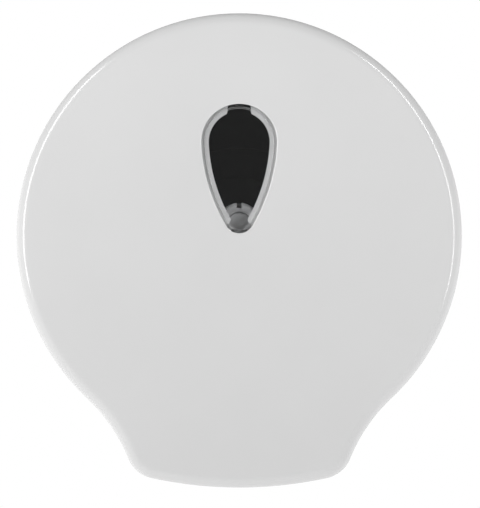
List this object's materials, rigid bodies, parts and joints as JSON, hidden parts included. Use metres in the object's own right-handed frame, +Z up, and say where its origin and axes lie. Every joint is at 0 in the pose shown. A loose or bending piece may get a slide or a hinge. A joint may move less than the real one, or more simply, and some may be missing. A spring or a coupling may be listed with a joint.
{
  "type": "jumbo toilet roll dispenser",
  "caption": "Round wall-mounted toilet roll dispenser with a drop-down cover, teardrop window, turning hub, cam lock and serrated paper exit at the foot.",
  "frame": {"origin": "where the hub's axis meets the wall, at the centre of the four wall-screw slots", "axes": "+X to the right as seen from the front, +Y into the wall, +Z up"},
  "size_m": [0.345, 0.13, 0.3675],
  "materials": {
    "cover_white": "glossy moulded ABS, white, faint orange peel",
    "lens_clear": "clear moulded styrene, lightly grey",
    "plate_black": "fine-textured moulded ABS, black",
    "post_grey": "satin moulded nylon, light grey",
    "hub_grey": "satin moulded acetal, light grey",
    "felt": "pressed wool felt",
    "strip_steel": "stamped stainless strip",
    "zinc_steel": "zinc plated, bright passivated",
    "spring_steel": "oiled spring steel",
    "lock_nickel": "nickel-plated die casting"
  },
  "bodies": {
    "base": {"back_plate": "plate_black", "spindle_post": "post_grey", "spindle_screws": "zinc_steel", "brake_washer": "felt", "hub_clip": "spring_steel", "hinge_pin_left": "zinc_steel", "hinge_pin_right": "zinc_steel", "latch_keeper": "zinc_steel", "keeper_screws": "zinc_steel"},
    "hub": {"roll_hub": "hub_grey"},
    "cover": {"front_cover": "cover_white", "window_lens": "lens_clear", "tear_strip_left": "strip_steel", "tear_strip_right": "strip_steel", "lock_housing": "lock_nickel", "lock_washer": "zinc_steel", "lock_nut": "zinc_steel"},
    "lock_cylinder": {"lock_plug": "lock_nickel", "lock_cam": "zinc_steel", "cam_screw": "zinc_steel"}
  },
  "joints": [
    {"name": "cover_hinge", "type": "hinge", "parent": "base", "child": "cover", "pos_m": [0, -0.014, -0.194], "axis": [1, 0, 0], "range_deg": [0, 90]},
    {"name": "hub_spin", "type": "hinge", "parent": "base", "child": "hub", "pos_m": [0, -0.06, 0], "axis": [0, 1, 0], "continuous": true},
    {"name": "lock_turn", "type": "hinge", "parent": "cover", "child": "lock_cylinder", "pos_m": [0, -0.03, 0.15], "axis": [0, 0, 1], "range_deg": [0, 90]}
  ]
}
